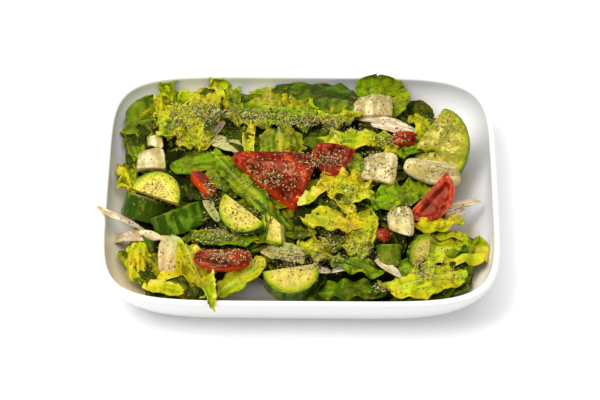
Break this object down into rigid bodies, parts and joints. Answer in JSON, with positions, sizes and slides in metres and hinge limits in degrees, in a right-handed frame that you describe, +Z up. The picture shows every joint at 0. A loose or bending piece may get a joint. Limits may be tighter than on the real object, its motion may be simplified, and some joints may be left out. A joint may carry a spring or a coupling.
{
  "type": "dish of house salad",
  "caption": "A white rounded-rectangle serving dish heaped with torn lettuce, cucumber slices, tomato wedges, pale lettuce ribs, onion slivers and dried herbs",
  "frame": {"origin": "middle of the dish's flat base", "axes": "+X to the right along the dish's length, +Y away from the diner, +Z up"},
  "size_m": [0.2524, 0.1898, 0.0583],
  "materials": {
    "porcelain": "white glazed porcelain",
    "lettuce": "dressed salad leaves, moist with a soft gloss",
    "cucumber": "moist pale flesh with a dark green skin",
    "tomato": "wet red flesh and glossy skin",
    "rib": "pale juicy leaf rib, moist"
  },
  "bodies": {
    "root": {"dish": "porcelain", "salad": "lettuce", "cucumber_1": "cucumber", "cucumber_2": "cucumber", "cucumber_3": "cucumber", "cucumber_4": "cucumber", "cucumber_5": "cucumber", "cucumber_6": "cucumber", "cucumber_7": "cucumber", "cucumber_8": "cucumber", "cucumber_9": "cucumber", "tomato_1": "tomato", "tomato_2": "tomato", "tomato_3": "tomato", "tomato_4": "tomato", "tomato_5": "tomato", "tomato_6": "tomato", "tomato_7": "tomato", "rib_1": "rib", "rib_2": "rib", "rib_3": "rib", "rib_4": "rib", "rib_5": "rib", "rib_6": "rib"}
  },
  "joints": []
}
